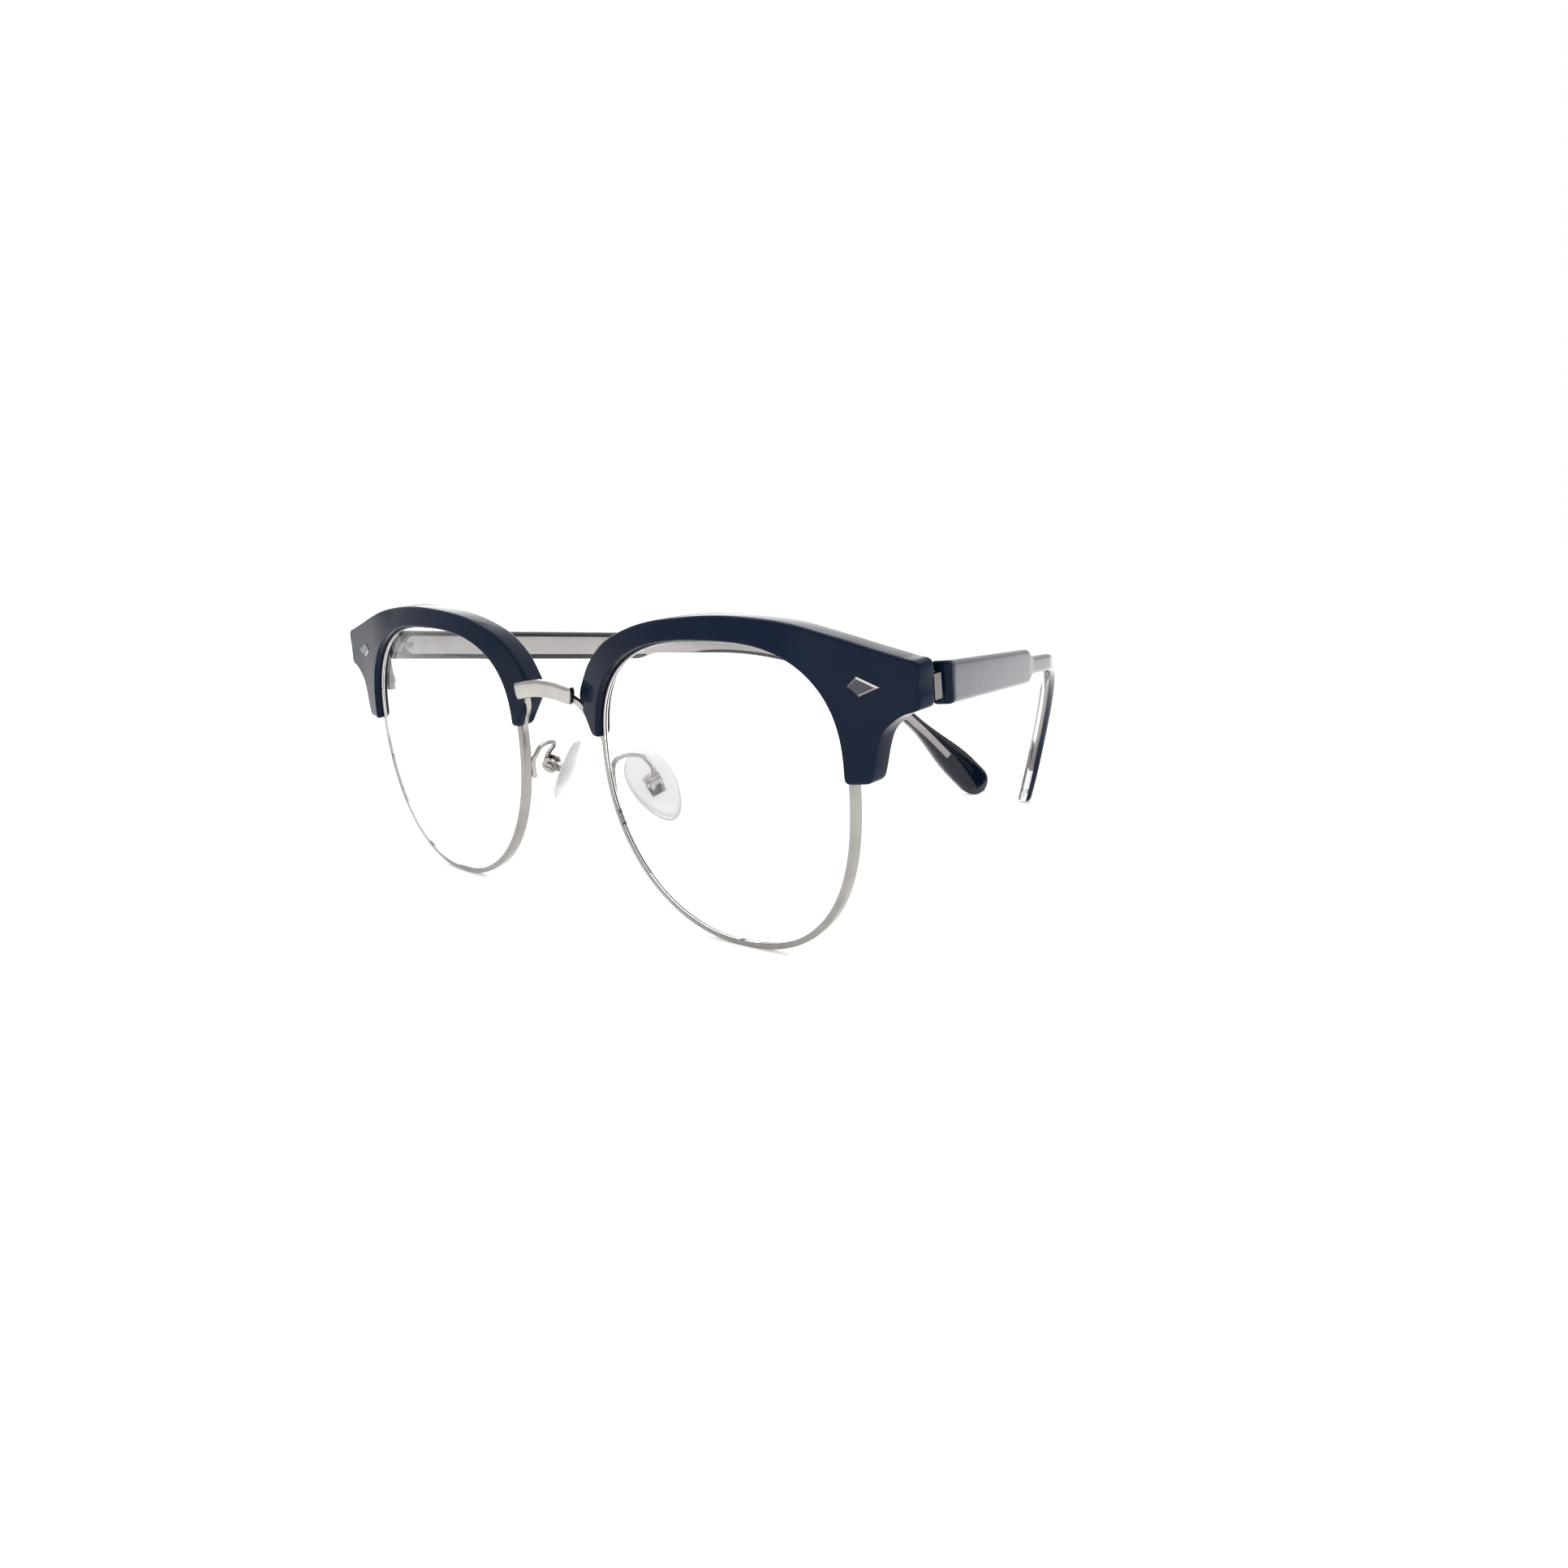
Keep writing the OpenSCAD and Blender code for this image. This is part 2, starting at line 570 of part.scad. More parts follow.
eyewire(true);  // left_eyewire
lens(true);  // left_lens
closing_block(true);  // left_closing_block
closing_screw(true);  // left_closing_screw
brow(true);  // left_brow
plaque(true);  // left_plaque
end_piece(true);  // left_end_piece
hinge_screw(true);  // left_hinge_screw
hinge_leaf(true);  // left_hinge_leaf
temple_outer(true);  // left_temple_outer
temple_inner(true);  // left_temple_inner
temple_core(true);  // left_temple_core
pad_arm(true);  // left_pad_arm
pad_box(true);  // left_pad_box
pad_screw(true);  // left_pad_screw
pad_insert(true);  // left_pad_insert
nose_pad(true);  // left_nose_pad
eyewire(false);  // right_eyewire
lens(false);  // right_lens
closing_block(false);  // right_closing_block
closing_screw(false);  // right_closing_screw
brow(false);  // right_brow
plaque(false);  // right_plaque
end_piece(false);  // right_end_piece
hinge_screw(false);  // right_hinge_screw
hinge_leaf(false);  // right_hinge_leaf
temple_outer(false);  // right_temple_outer
temple_inner(false);  // right_temple_inner
temple_core(false);  // right_temple_core
pad_arm(false);  // right_pad_arm
pad_box(false);  // right_pad_box
pad_screw(false);  // right_pad_screw
pad_insert(false);  // right_pad_insert
nose_pad(false);  // right_nose_pad
bridge();
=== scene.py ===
import json
import math

import bmesh
import bpy
import numpy as np
from mathutils import Matrix, Vector


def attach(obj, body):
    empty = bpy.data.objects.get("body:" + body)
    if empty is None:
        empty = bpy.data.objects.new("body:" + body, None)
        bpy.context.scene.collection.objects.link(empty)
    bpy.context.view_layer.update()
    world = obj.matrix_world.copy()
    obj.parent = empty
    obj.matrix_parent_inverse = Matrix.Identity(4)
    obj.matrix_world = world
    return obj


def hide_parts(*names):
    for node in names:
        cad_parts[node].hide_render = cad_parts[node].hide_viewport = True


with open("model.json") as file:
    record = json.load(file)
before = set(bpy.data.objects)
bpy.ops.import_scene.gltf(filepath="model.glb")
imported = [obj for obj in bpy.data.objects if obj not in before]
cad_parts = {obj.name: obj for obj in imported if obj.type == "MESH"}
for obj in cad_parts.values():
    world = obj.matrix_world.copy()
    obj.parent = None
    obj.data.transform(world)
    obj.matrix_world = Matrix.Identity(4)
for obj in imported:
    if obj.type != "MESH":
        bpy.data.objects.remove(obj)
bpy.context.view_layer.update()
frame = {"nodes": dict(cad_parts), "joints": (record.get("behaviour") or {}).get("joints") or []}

MM = 0.001
RIGHT_ANGLE = math.pi / 2

# ---------------------------------------------------------------- frame
# Shapes are worked out in millimetres in the front's own frame: X lateral, Y back, Z up along the
# lenses, with its origin between the lenses. The hinge joint says how that frame stands.
PIVOT = np.array((66.7, 11.2, 16.3))
JOINTS = {j["name"]: j for j in frame["joints"]}
HINGE = JOINTS["left_temple_fold"]
LEAN = math.asin(-HINGE["axis"][1])
FOLD = math.radians(-HINGE["range_deg"][0])
DIP = math.radians(8.5)


def turn_x(angle):
    c, s = math.cos(angle), math.sin(angle)
    return np.array(((1, 0, 0), (0, c, -s), (0, s, c)))


def turn_y(angle):
    c, s = math.cos(angle), math.sin(angle)
    return np.array(((c, 0, s), (0, 1, 0), (-s, 0, c)))


def turn_z(angle):
    c, s = math.cos(angle), math.sin(angle)
    return np.array(((c, -s, 0), (s, c, 0), (0, 0, 1)))


STAND = turn_x(LEAN)
STAND_AT = np.array(HINGE["pos_m"]) / MM - STAND @ PIVOT


def standing(points, side=1):
    """Front-frame points in mm to the row frame in metres; side -1 is the mirrored half."""
    p = np.asarray(points, float) * (side, 1, 1)
    return (p @ STAND.T + STAND_AT) * MM


def folded(points, side=1):
    """Points of a temple about its hinge centre."""
    return standing(np.asarray(points) @ turn_z(FOLD).T + PIVOT, side)


# ---------------------------------------------------------------- meshes
def smooth_mesh(name, verts, faces, sharp=40, uvs=None):
    mesh = bpy.data.meshes.new(name)
    mesh.from_pydata([tuple(v) for v in verts], [], faces)
    if uvs is not None:
        layer = mesh.uv_layers.new(name="along")
        for loop in mesh.loops:
            layer.data[loop.index].uv = uvs[loop.vertex_index]
    bm = bmesh.new()
    bm.from_mesh(mesh)
    bmesh.ops.remove_doubles(bm, verts=bm.verts, dist=1e-7)
    bmesh.ops.recalc_face_normals(bm, faces=bm.faces)
    bm.to_mesh(mesh)
    bm.free()
    mesh.polygons.foreach_set("use_smooth", [True] * len(mesh.polygons))
    mesh.set_sharp_from_angle(angle=math.radians(sharp))
    obj = bpy.data.objects.new(name, mesh)
    bpy.context.scene.collection.objects.link(obj)
    return obj


def skin(name, rings, closed=False, sharp=40):
    """A solid skinned over rings of points, capped unless the path closes on itself."""
    rings = np.asarray(rings)
    count, around = rings.shape[:2]
    faces = []
    for i in range(count if closed else count - 1):
        for j in range(around):
            a, b = i * around + j, i * around + (j + 1) % around
            c, d = (i + 1) % count * around + j, (i + 1) % count * around + (j + 1) % around
            faces.append((a, b, d, c))
    if not closed:
        faces.append(tuple(range(around)))
        faces.append(tuple(range((count - 1) * around, count * around)))
    uvs = [(i / count, j / around) for i in range(count) for j in range(around)]
    return smooth_mesh(name, rings.reshape(-1, 3), faces, sharp, uvs)


def finish_piece(obj, body, node, material):
    obj.data.materials.clear()
    obj.data.materials.append(material)
    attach(obj, body)
    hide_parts(node)
    return obj


def arc(centre, radius, start, end, steps):
    """Points of an arc in a section, angles in degrees."""
    angles = np.radians(np.linspace(start, end, steps))
    return [(centre[0] + radius * math.cos(a), centre[1] + radius * math.sin(a)) for a in angles]


def catmull(points, per_gap):
    """A smooth curve through points, with per_gap steps between neighbours."""
    p = np.asarray(points, float)
    ends = np.vstack((p[0], p, p[-1]))
    out = []
    for i in range(1, len(ends) - 2):
        a, b, c, d = ends[i - 1:i + 3]
        for k in range(per_gap):
            t = k / per_gap
            out.append(0.5 * (2 * b + (c - a) * t + (2 * a - 5 * b + 4 * c - d) * t * t
                              + (3 * b - a - 3 * c + d) * t ** 3))
    return np.array(out + [p[-1]])


def rod_rings(path, half_across, half_up, up, sides=24, power=2.0):
    """Sections along a path: an ellipse, or a rounded rectangle for a higher power."""
    rings = []
    angles = np.linspace(0, 2 * math.pi, sides, endpoint=False)
    for i, here in enumerate(path):
        along = path[min(i + 1, len(path) - 1)] - path[max(i - 1, 0)]
        along /= np.linalg.norm(along)
        across = np.cross(along, up)
        across /= np.linalg.norm(across)
        rise = np.cross(across, along)
        c, s = np.cos(angles), np.sin(angles)
        u = np.sign(c) * np.abs(c) ** (2 / power) * half_across
        v = np.sign(s) * np.abs(s) ** (2 / power) * half_up
        rings.append(here + np.outer(u, across) + np.outer(v, rise))
    return np.array(rings)


def domed(rings, steps=5, depth=0.25):
    """Adds shrinking rings at both ends of a rod, so that they are rounded."""
    def cap(ring, outward):
        middle = ring.mean(0)
        return [middle + (ring - middle) * math.cos(a) + outward * depth * math.sin(a)
                for a in np.linspace(RIGHT_ANGLE * 0.95, 0, steps, endpoint=False)]
    first = rings[0].mean(0) - rings[1].mean(0)
    last = rings[-1].mean(0) - rings[-2].mean(0)
    start = cap(rings[0], first / np.linalg.norm(first))
    end = cap(rings[-1], last / np.linalg.norm(last))
    return np.array(start + list(rings) + end[::-1])


def ease(x):
    """Smooth step from 0 to 1."""
    c = min(1.0, max(0.0, x))
    return c * c * (3 - 2 * c)


# ---------------------------------------------------------------- materials
def new_material(name):
    material = bpy.data.materials.new(name)
    material.use_nodes = True
    nodes = material.node_tree.nodes
    return material, nodes, material.node_tree.links, nodes["Principled BSDF"]


def noise(nodes, links, scale, detail=3.0, stretch=None):
    coords = nodes.new("ShaderNodeTexCoord")
    texture = nodes.new("ShaderNodeTexNoise")
    texture.inputs["Scale"].default_value = scale
    texture.inputs["Detail"].default_value = detail
    source = coords.outputs["Object"]
    if stretch:
        mapping = nodes.new("ShaderNodeMapping")
        mapping.inputs["Scale"].default_value = stretch
        links.new(source, mapping.inputs["Vector"])
        source = mapping.outputs["Vector"]
    links.new(source, texture.inputs["Vector"])
    return texture.outputs["Fac"]


def colour_between(nodes, links, factor, low, high, shader):
    ramp = nodes.new("ShaderNodeValToRGB")
    ramp.color_ramp.elements[0].position = 0.3
    ramp.color_ramp.elements[0].color = (*low, 1)
    ramp.color_ramp.elements[1].position = 0.7
    ramp.color_ramp.elements[1].color = (*high, 1)
    links.new(factor, ramp.inputs["Fac"])
    links.new(ramp.outputs["Color"], shader.inputs["Base Color"])


def roughness_between(nodes, links, factor, low, high, shader):
    span = nodes.new("ShaderNodeMapRange")
    span.inputs["To Min"].default_value = low
    span.inputs["To Max"].default_value = high
    links.new(factor, span.inputs["Value"])
    links.new(span.outputs["Result"], shader.inputs["Roughness"])


def bump(nodes, links, height, strength, distance, shader):
    node = nodes.new("ShaderNodeBump")
    node.inputs["Strength"].default_value = strength
    node.inputs["Distance"].default_value = distance
    links.new(height, node.inputs["Height"])
    links.new(node.outputs["Normal"], shader.inputs["Normal"])


def navy_acetate():
    """Polished cellulose acetate: very dark blue, faint cloudiness, hand-polished waviness."""
    material, nodes, links, shader = new_material("navy_acetate")
    cloud = noise(nodes, links, 60, 4)
    colour_between(nodes, links, cloud, (0.0025, 0.0070, 0.0195), (0.0045, 0.0105, 0.0265), shader)
    roughness_between(nodes, links, noise(nodes, links, 900, 5), 0.06, 0.14, shader)
    bump(nodes, links, noise(nodes, links, 140, 2), 0.05, 0.0004, shader)
    shader.inputs["IOR"].default_value = 1.48
    shader.inputs["Specular IOR Level"].default_value = 0.09
    return material


def clear_acetate():
    """Clear acetate with the slight warmth and tiny ripples of a polished edge."""
    material, nodes, links, shader = new_material("clear_acetate")
    shade = noise(nodes, links, 80, 2)
    colour_between(nodes, links, shade, (0.72, 0.75, 0.78), (0.79, 0.82, 0.85), shader)
    roughness_between(nodes, links, noise(nodes, links, 1200, 4), 0.01, 0.04, shader)
    bump(nodes, links, noise(nodes, links, 220, 2), 0.03, 0.0003, shader)
    shader.inputs["Transmission Weight"].default_value = 1.0
    shader.inputs["IOR"].default_value = 1.48
    return material


def plated_metal(name, low, high):
    """Polished, plated metal with fine polishing marks."""
    material, nodes, links, shader = new_material(name)
    shade = noise(nodes, links, 150, 3)
    colour_between(nodes, links, shade, low, high, shader)
    roughness_between(nodes, links, noise(nodes, links, 2500, 5), 0.13, 0.26, shader)
    bump(nodes, links, noise(nodes, links, 1800, 3, (1, 1, 6)), 0.05, 0.00005, shader)
    shader.inputs["Metallic"].default_value = 1.0
    return material


def plaque_painted_reflection():
    """Painted reflection: a glossy dark colour on the plaque's flat face inside its bright bevels, standing
    in for polished silver that reflects dark surroundings.
    """
    material, nodes, links, shader = new_material("plaque_painted_reflection")
    shade = noise(nodes, links, 200, 2)
    colour_between(nodes, links, shade, (0.004, 0.006, 0.014), (0.008, 0.010, 0.022), shader)
    roughness_between(nodes, links, noise(nodes, links, 900, 3), 0.03, 0.08, shader)
    shader.inputs["IOR"].default_value = 1.6
    return material


def core_metal():
    """The flat core wire: fine lengthwise lines under the clear acetate."""
    material, nodes, links, shader = new_material("core_metal")
    coords = nodes.new("ShaderNodeTexCoord")
    lines = nodes.new("ShaderNodeTexWave")
    lines.bands_direction = "Y"
    lines.inputs["Scale"].default_value = 14
    lines.inputs["Distortion"].default_value = 0.4
    links.new(coords.outputs["UV"], lines.inputs["Vector"])
    colour_between(nodes, links, lines.outputs["Fac"], (0.50, 0.44, 0.42), (0.64, 0.57, 0.55), shader)
    bump(nodes, links, lines.outputs["Fac"], 0.25, 0.0001, shader)
    shader.inputs["Metallic"].default_value = 0.85
    shader.inputs["Roughness"].default_value = 0.3
    return material


def lens_glass():
    """Clear demo lens, with the faintest cool tint."""
    material, nodes, links, shader = new_material("lens_clear")
    shade = noise(nodes, links, 12, 1)
    colour_between(nodes, links, shade, (0.970, 0.985, 0.985), (0.985, 0.992, 0.992), shader)
    roughness_between(nodes, links, noise(nodes, links, 500, 2), 0.0, 0.01, shader)
    shader.inputs["Transmission Weight"].default_value = 1.0
    shader.inputs["IOR"].default_value = 1.3
    return material


def clear_silicone():
    """Soft clear silicone, slightly milky, with a satin skin."""
    material, nodes, links, shader = new_material("clear_silicone")
    shade = noise(nodes, links, 300, 3)
    colour_between(nodes, links, shade, (0.74, 0.75, 0.74), (0.81, 0.82, 0.81), shader)
    roughness_between(nodes, links, noise(nodes, links, 1500, 4), 0.18, 0.30, shader)
    bump(nodes, links, noise(nodes, links, 900, 3), 0.06, 0.0001, shader)
    shader.inputs["Transmission Weight"].default_value = 0.55
    shader.inputs["IOR"].default_value = 1.41
    shader.inputs["Subsurface Weight"].default_value = 0.1
    return material


def floor_paper():
    """Pale matte paper that glows a little, so that it stays as bright as the world."""
    material, nodes, links, shader = new_material("floor_paper")
    colour_between(nodes, links, noise(nodes, links, 8, 2), (0.88, 0.88, 0.88), (0.91, 0.91, 0.91), shader)
    shader.inputs["Roughness"].default_value = 0.85
    shader.inputs["Specular IOR Level"].default_value = 0.1
    shader.inputs["Emission Color"].default_value = (1, 1, 1, 1)
    shader.inputs["Emission Strength"].default_value = 0.3
    return material


NAVY = navy_acetate()
CLEAR = clear_acetate()
SILVER = plated_metal("silver_metal", (0.32, 0.305, 0.285), (0.41, 0.39, 0.37))
RIM_METAL = plated_metal("rim_metal", (0.24, 0.228, 0.214), (0.31, 0.297, 0.28))
STEEL = plated_metal("hinge_steel", (0.12, 0.115, 0.115), (0.18, 0.175, 0.17))
PAINTED_REFLECTION = plaque_painted_reflection()
CORE = core_metal()
GLASS = lens_glass()
SILICONE = clear_silicone()

# ---------------------------------------------------------------- lens outline and front curve
LENS_X = 34.65
BASE_R = 125.0
WRAP = math.radians(3.1)
WIRE_T = 0.9
WIRE_D = 1.6
LENS_T = 1.3
EYE_CENTRE = (1.85, 4.7)
NASAL_A = 26.0
TEMPORAL_A = 22.6
TOP_B = 18.2
BOTTOM_B = 27.4
SQUARENESS = {(1, 1): 2.5, (1, -1): 2.7, (-1, -1): 2.1, (-1, 1): 2.4}


def eye(t, inset=0.0):
    """Point of the lens outline at angle t in degrees, in lens coordinates."""
    c, s = math.cos(math.radians(t)), math.sin(math.radians(t))
    power = 2 / SQUARENESS[(1 if s >= 0 else -1, 1 if c >= 0 else -1)]
    a = TEMPORAL_A if c >= 0 else NASAL_A
    b = TOP_B if s >= 0 else BOTTOM_B
    u = EYE_CENTRE[0] + (a - inset) * math.copysign(abs(c) ** power, c)
    v = EYE_CENTRE[1] + (b - inset) * math.copysign(abs(s) ** power, s)
    return np.array((u, v))


def on_front(p, back):
    """A point of the lens plane, wrapped onto the base curve and moved back."""
    y = (p[0] ** 2 + p[1] ** 2) / (2 * BASE_R) + back
    return np.array((LENS_X + p[0] * math.cos(WRAP) - y * math.sin(WRAP),
                     p[0] * math.sin(WRAP) + y * math.cos(WRAP), p[1]))


def front_y(x, z):
    """How far back the front's curve is at x and z of the front frame."""
    return ((x - LENS_X) ** 2 + z ** 2) / (2 * BASE_R) + (x - LENS_X) * math.sin(WRAP)


# ---------------------------------------------------------------- eyewire
SPLIT_T = 12.0
SPLIT_GAP = 0.35
GROOVE_D = 0.42
GROOVE_W = 0.86
GROOVE_FROM = (WIRE_D - GROOVE_W) / 2
GROOVE_TO = GROOVE_FROM + GROOVE_W
GROOVE_TAPER = 0.1
WIRE_BEVEL = 0.08
WIRE_ROUND = 0.22
WIRE_STATIONS = 420


def eyewire(side_name, side):
    """Grooved wire round the lens, open at the closing block; a section point is (inset, depth)."""
    r = WIRE_ROUND
    section = [(WIRE_T, GROOVE_FROM), (WIRE_T, WIRE_BEVEL), (WIRE_T - WIRE_BEVEL, 0)]
    section += arc((r, r), r, 270, 180, 6)
    section += arc((r, WIRE_D - r), r, 180, 90, 6)
    section += [(WIRE_T - WIRE_BEVEL, WIRE_D), (WIRE_T, WIRE_D - WIRE_BEVEL), (WIRE_T, GROOVE_TO),
                (WIRE_T - GROOVE_D, GROOVE_TO - GROOVE_TAPER),
                (WIRE_T - GROOVE_D, GROOVE_FROM + GROOVE_TAPER)]
    angles = np.linspace(SPLIT_T + SPLIT_GAP, SPLIT_T + 360 - SPLIT_GAP, WIRE_STATIONS)
    rings = [standing([on_front(eye(t, d), b) for d, b in section], side) for t in angles]
    obj = skin(f"{side_name}_eyewire_polished", rings)
    return finish_piece(obj, "front", f"{side_name}_eyewire", RIM_METAL)


# ---------------------------------------------------------------- lens
LENS_FIT = 0.04
BEAD_BASE = 0.12
BEAD_TOP = 0.2
LENS_RINGS = 10
LENS_STATIONS = 180


def lens(side_name, side):
    """Curved demo lens, with the bead on its edge that sits in the eyewire's groove."""
    rim = WIRE_T + LENS_FIT
    bead = WIRE_T - GROOVE_D + LENS_FIT
    back = (WIRE_D - LENS_T) / 2
    centre = np.array(EYE_CENTRE)
    angles = np.linspace(0, 360, LENS_STATIONS, endpoint=False)

    def ring(scale, inset, depth):
        outline = [centre + scale * (eye(t, inset) - centre) for t in angles]
        return standing([on_front(p, depth) for p in outline], side)

    scales = [0.01 + 0.99 * k / LENS_RINGS for k in range(LENS_RINGS + 1)]
    rings = [ring(s, rim, back) for s in scales]
    rings += [ring(1, rim, GROOVE_FROM + BEAD_BASE), ring(1, bead, GROOVE_FROM + BEAD_TOP),
              ring(1, bead, GROOVE_TO - BEAD_TOP), ring(1, rim, GROOVE_TO - BEAD_BASE)]
    rings += [ring(s, rim, back + LENS_T) for s in scales[::-1]]
    obj = skin(f"{side_name}_demo_lens", rings, sharp=25)
    return finish_piece(obj, "front", f"{side_name}_lens", GLASS)


# ---------------------------------------------------------------- brow
BROW_AHEAD = 1.3
BROW_LAP = 0.5
BROW_D = 3.5
FACET_AT = (60, 17)
FACET_BACK = 3.65
FACET_SLOPE = 0.17
FACET_TILT = 0.05
FACET_FROM = 46.0
FACET_OVER = 10.0
FACET_BLEND = 0.3
EDGE_ROUND = 0.55
LIP_ROUND = 0.2
WIRE_SLACK = 0.06
# Angle round the lens, then where the outer edge is from the midline and above the lens centre
BROW_EDGE = [
    (176.7, 9.8, 6.8), (172.5, 8.2, 9.2), (167.5, 6.7, 11.7), (162.5, 6.5, 13.3), (156, 7.4, 15.2),
    (147, 9.6, 18.3), (135.5, 13.4, 21.3), (123, 18.3, 23.3), (110, 24, 24.7), (97, 31, 25.5),
    (86.5, 38, 25.8), (73, 44.5, 25.5), (58.5, 51, 24.7), (46, 57, 23.3), (36.5, 62.5, 21.8),
    (30, 67, 20.6), (26, 69.3, 19.8), (21.5, 69.3, 17), (17, 69.3, 14.3), (14.2, 67.6, 13.6),
    (11.5, 65.8, 12.6), (8.6, 64.1, 11), (5.2, 63.3, 8.9), (2.2, 62.8, 6.6), (-0.8, 62.2, 4.2)]


def facet(x, z):
    """The flat outer end of the brow, which falls back towards the temple."""
    return FACET_BACK + FACET_SLOPE * (x - FACET_AT[0]) + FACET_TILT * (z - FACET_AT[1])


def soft_min(a, b):
    """The lower of two heights, with a rounded crease where they cross."""
    return -FACET_BLEND * math.log(math.exp(-a / FACET_BLEND) + math.exp(-b / FACET_BLEND))


def brow_front(x, z):
    """The brow's front face: the base curve, blended into the facet."""
    y = front_y(x, z) - BROW_AHEAD
    return y + (soft_min(y, facet(x, z)) - y) * ease((x - FACET_FROM) / FACET_OVER)


def brow_back(x, z):
    return brow_front(x, z) + BROW_D


def brow_section(t, x, z):
    """Section of the brow across the edge of the lens, as points of the front frame."""
    lip = on_front(eye(t, BROW_LAP), 0)
    outer = np.array((x, z))
    inward = np.array((lip[0] - x, lip[2] - z))
    width = np.linalg.norm(inward)
    inward /= width
    r = min(EDGE_ROUND, width / 4)
    points = []

    def add(distance, y):
        p = outer + inward * distance
        points.append((p[0], y(p[0], p[1]) if callable(y) else y, p[1]))

    lip_front = brow_front(lip[0], lip[2])
    for a in (0, 30, 60):
        add(width - LIP_ROUND + LIP_ROUND * math.cos(math.radians(a)),
            lip_front + LIP_ROUND - LIP_ROUND * math.sin(math.radians(a)))
    for distance in np.linspace(width - LIP_ROUND, r, 10):
        add(distance, brow_front)
    edge = outer + inward * r
    y0, y1 = brow_front(*edge), brow_back(*edge)
    for a in (18, 36, 54, 72, 90):
        add(r - r * math.sin(math.radians(a)), y0 + r - r * math.cos(math.radians(a)))
    for a in (0, 18, 36, 54, 72):
        add(r - r * math.cos(math.radians(a)), y1 - r + r * math.sin(math.radians(a)))
    for distance in np.linspace(r, width - 0.15, 8):
        add(distance, brow_back)
    behind = WIRE_D + WIRE_SLACK
    for inset, depth in ((BROW_LAP, WIRE_D + 0.5), (BROW_LAP, behind), (-WIRE_SLACK, behind),
                         (-WIRE_SLACK, -WIRE_SLACK), (BROW_LAP, -WIRE_SLACK)):
        points.append(tuple(on_front(eye(t, inset), depth)))
    return points


# How much the sections nearest to both ends of the brow are drawn in, to round its ends
END_ROUND = (0.66, 0.82, 0.92, 0.97, 0.99)


def brow(side_name, side):
    """Acetate brow that laps over the upper half of the eyewire."""
    rows = catmull(BROW_EDGE, 10)
    rings = [standing(brow_section(*row), side) for row in rows]
    for i, shrink in enumerate(END_ROUND):
        for k in (i, -1 - i):
            middle = rings[k].mean(0)
            rings[k] = middle + (rings[k] - middle) * shrink
    obj = skin(f"{side_name}_brow_polished", rings, sharp=50)
    return finish_piece(obj, "front", f"{side_name}_brow", NAVY)


# ---------------------------------------------------------------- plaque
PLAQUE_AT = (61.3, 16.9)
KITE = [(-2.1, 0), (-0.6, 1.3), (2.8, -0.05), (-0.35, -1.3)]
# Scale of the outline and height above the facet, from the pocket to the face
KITE_STEPS = ((1, -0.05), (1, 0.2), (0.96, 0.26), (0.8, 0.42), (0.76, 0.42))
KITE_LEAN = math.radians(-2.9)
KITE_TURN = turn_z(math.atan(FACET_SLOPE)) @ turn_x(KITE_LEAN)


def plaque(side_name, side):
    """Kite-shaped rivet head in silver, whose flat face inside four bright bevels gets a painted dark
    reflection.
    """
    outline = np.array(KITE)
    middle = outline.mean(0)
    place = np.array((PLAQUE_AT[0], facet(*PLAQUE_AT), PLAQUE_AT[1]))
    rings = []
    for scale, out in KITE_STEPS:
        flat = middle + (outline - middle) * scale
        rings.append(standing([KITE_TURN @ np.array((u, -out, v)) + place for u, v in flat], side))
    obj = skin(f"{side_name}_kite_plaque", rings, sharp=12)
    finish_piece(obj, "front", f"{side_name}_plaque", SILVER)
    # The face that looks straight out gets the painted reflection: a dark colour where the silver reflects
    # dark surroundings.
    obj.data.materials.append(PAINTED_REFLECTION)
    base, tip = standing([np.zeros(3), KITE_TURN @ np.array((0, -1, 0))], side)
    outward = Vector(tip - base).normalized()
    for polygon in obj.data.polygons:
        if polygon.normal.dot(outward) > 0.999:
            polygon.material_index = 1


# ---------------------------------------------------------------- temples
# Across, from the hinge's axis: the outer face, where the layers meet, and the inner face
OUTER_X = 3.05
LAYER_X = OUTER_X - 1.2
LAYER_LAP = 0.1
INNER_X = OUTER_X - 2.95
EDGE_R = 0.75
# Along, from the end beside the hinge: the deep shank, the step down to the neck, the bend, the tip
END_Y = -0.75
SHANK_H = 5.6
NECK_H = 3.0
STEP_AT = 52.0
STEP_W = 5.0
BEND_L = 71.3
BEND_R = 68.6
BEND_A = math.radians(45)
TEMPLE_L = 141.5
TIP_IN = 15.0
TIP_CURVE = 1.5
TIP_FREE = 11.0
PADDLE = 3.8
PADDLE_L = 22.0
PADDLE_OVER = 15.0
ROUND_L = 3.6
# The core wire
CORE_START = 5.0
CORE_ROUND = 1.6
CORE_T = 0.7
CORE_HALF = 1.75
CORE_NARROW = 1.05
CORE_OVER = 20.0
CORE_BEVEL = 0.08
# The hinge's barrels and their notch, from its middle up
BARREL_R = 1.1
BARREL_GAP = 0.1
NOTCH_H = 2.25


def centre_line(length):
    """(back, up, slope) of the temple's centre line at a length."""
    if length <= BEND_L:
        return length, 0.0, 0.0
    if length <= BEND_L + BEND_R * BEND_A:
        a = (length - BEND_L) / BEND_R
        return BEND_L + BEND_R * math.sin(a), -BEND_R * (1 - math.cos(a)), a
    k = length - BEND_L - BEND_R * BEND_A
    return (BEND_L + BEND_R * math.sin(BEND_A) + k * math.cos(BEND_A),
            -BEND_R * (1 - math.cos(BEND_A)) - k * math.sin(BEND_A), BEND_A)


